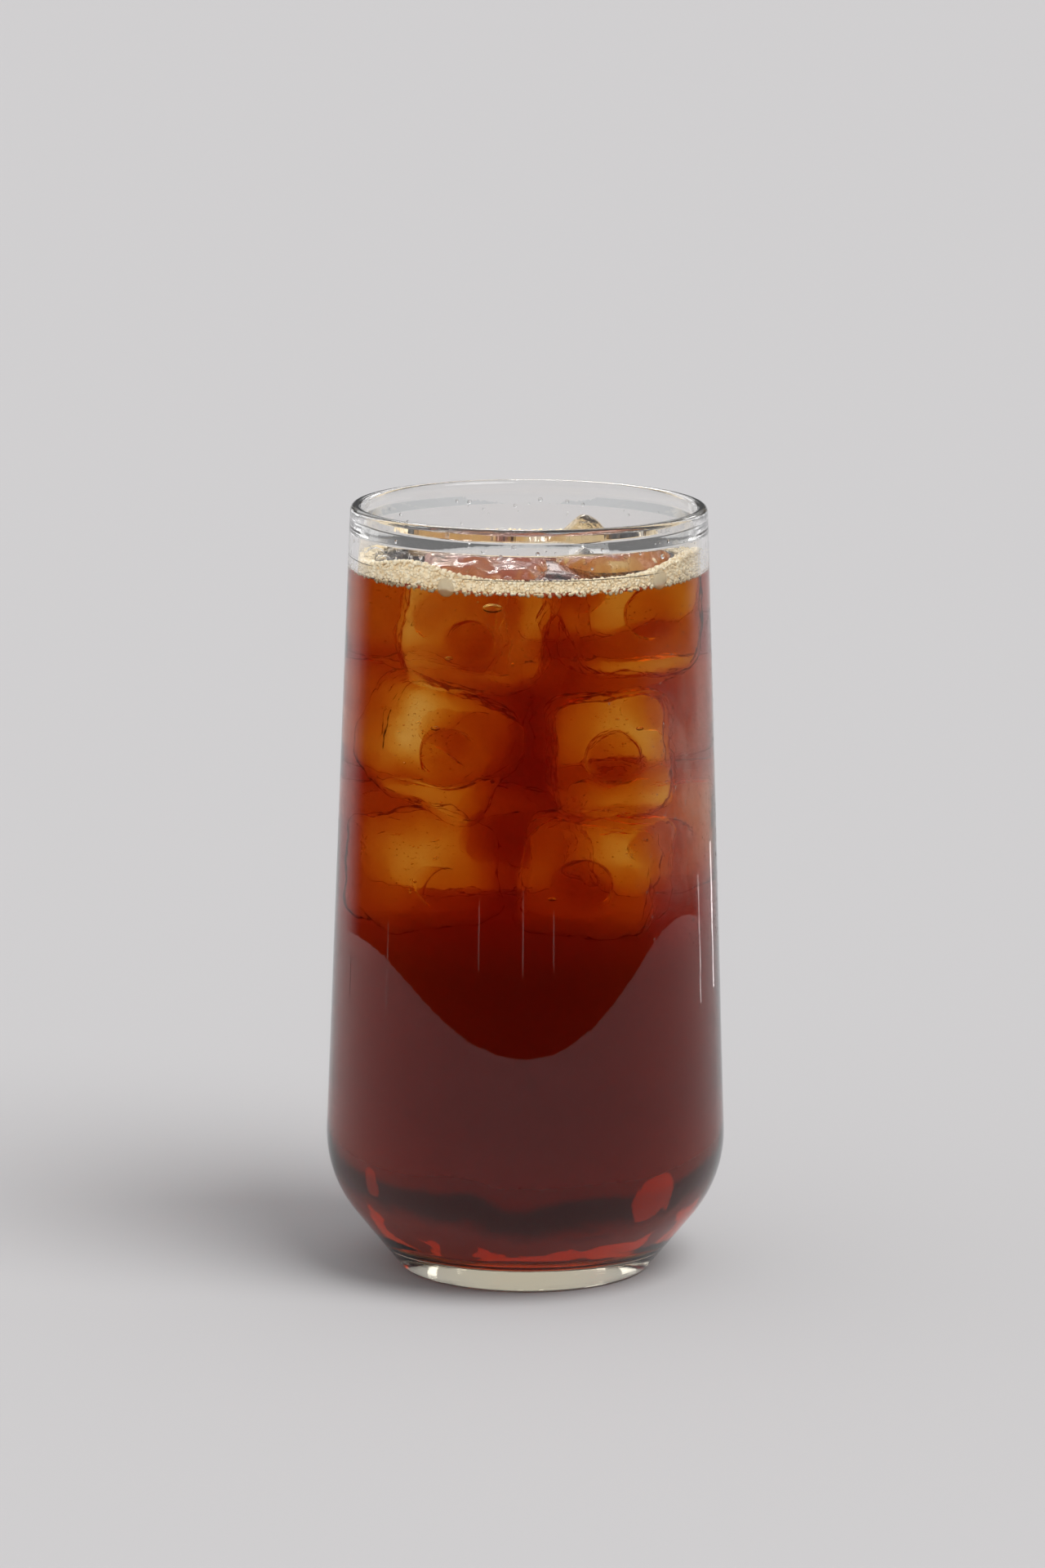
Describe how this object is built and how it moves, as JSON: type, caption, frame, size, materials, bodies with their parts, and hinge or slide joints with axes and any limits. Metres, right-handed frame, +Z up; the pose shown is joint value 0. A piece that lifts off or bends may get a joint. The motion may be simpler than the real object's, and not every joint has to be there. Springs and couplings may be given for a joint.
{
  "type": "iced coffee in a tall glass",
  "caption": "Tall clear tumbler of iced black coffee, with a thin ring of froth and ice cubes that break the surface.",
  "frame": {"origin": "middle of the foot, on the surface that the glass stands on", "axes": "+Z up through the mouth; -Y is the side that the ice dimples face"},
  "size_m": [0.0778, 0.0778, 0.15],
  "materials": {
    "clear_glass": "clear fire-polished soda-lime glass",
    "black_coffee": "clear dark liquid, amber where thin and deep red-brown where thick",
    "coffee_froth": "fine cream-coloured bubbles",
    "clear_ice": "wet clear ice with a slightly cloudy core"
  },
  "bodies": {
    "root": {"glass": "clear_glass", "coffee": "black_coffee", "froth_ring": "coffee_froth", "ice_1": "clear_ice", "ice_2": "clear_ice", "ice_3": "clear_ice", "ice_4": "clear_ice"}
  },
  "joints": []
}
